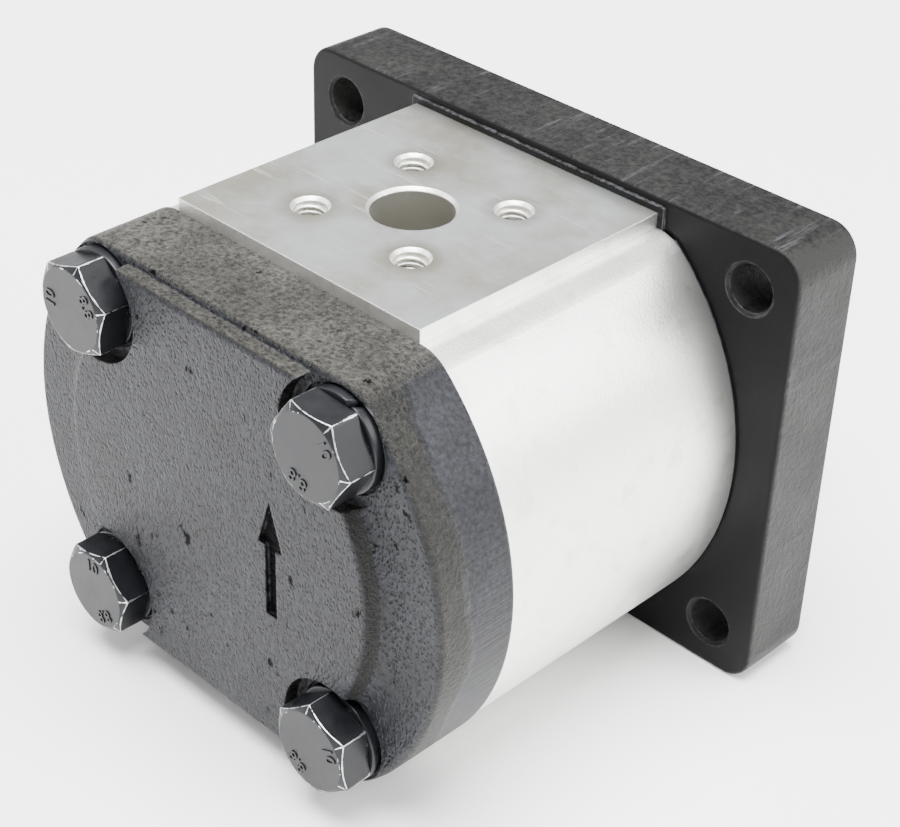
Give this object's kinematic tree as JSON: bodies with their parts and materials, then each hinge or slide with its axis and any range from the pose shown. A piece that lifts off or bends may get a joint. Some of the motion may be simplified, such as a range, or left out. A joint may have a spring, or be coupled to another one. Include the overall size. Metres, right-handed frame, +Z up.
{
  "type": "hydraulic gear pump",
  "caption": "External gear pump with a rectangular mounting flange, flanged ports above and below and a tapered keyed drive shaft.",
  "frame": {"origin": "centre of the locating spigot in the plane of the mounting face, on the drive shaft's axis", "axes": "+Y out along the drive shaft, +Z up through the pressure port, +X to the right as seen from the rear cover"},
  "size_m": [0.12, 0.1422, 0.091],
  "materials": {
    "black_coated_cast_iron": "black coating over cast and machined iron",
    "black_cast_iron": "black coated, coarse as-cast skin",
    "extruded_aluminium": "extruded, fine blasted sides, milled port faces",
    "cast_aluminium": "machined",
    "ground_steel": "ground",
    "bearing_bronze": "rolled bush",
    "nitrile_rubber": "moulded, matt",
    "seal_plastic": "moulded",
    "pressed_steel": "pressed and phosphated",
    "spring_steel": "phosphated",
    "black_oxide_steel": "black oxide, bright where edges are worn",
    "zinc_plated_steel": "bright zinc"
  },
  "bodies": {
    "root": {"mounting_flange": "black_coated_cast_iron", "pump_body": "extruded_aluminium", "rear_cover": "black_cast_iron", "front_bearing_block": "cast_aluminium", "rear_bearing_block": "cast_aluminium", "front_drive_bush": "bearing_bronze", "front_idler_bush": "bearing_bronze", "rear_drive_bush": "bearing_bronze", "rear_idler_bush": "bearing_bronze", "front_pressure_seal": "nitrile_rubber", "rear_pressure_seal": "nitrile_rubber", "front_backup_strips": "seal_plastic", "rear_backup_strips": "seal_plastic", "front_body_seal": "nitrile_rubber", "rear_body_seal": "nitrile_rubber", "shaft_seal_case": "pressed_steel", "shaft_seal_lip": "nitrile_rubber", "shaft_seal_spring": "spring_steel", "retaining_ring": "spring_steel", "front_dowels": "ground_steel", "rear_dowels": "ground_steel", "cover_bolts": "black_oxide_steel", "spring_washers": "black_oxide_steel"},
    "drive": {"drive_gear_shaft": "ground_steel", "shaft_key": "ground_steel", "shaft_nut": "zinc_plated_steel", "shaft_lock_washer": "zinc_plated_steel"},
    "idler": {"idler_gear_shaft": "ground_steel"}
  },
  "joints": [
    {"name": "drive_spin", "type": "hinge", "parent": "root", "child": "drive", "pos_m": [0, 0, 0], "axis": [0, 1, 0], "continuous": true},
    {"name": "idler_spin", "type": "hinge", "parent": "root", "child": "idler", "pos_m": [-0.031, 0, 0], "axis": [0, 1, 0], "continuous": true}
  ],
  "couplings": [
    {"joint": "idler_spin", "follows": "drive_spin", "ratio": -1}
  ]
}
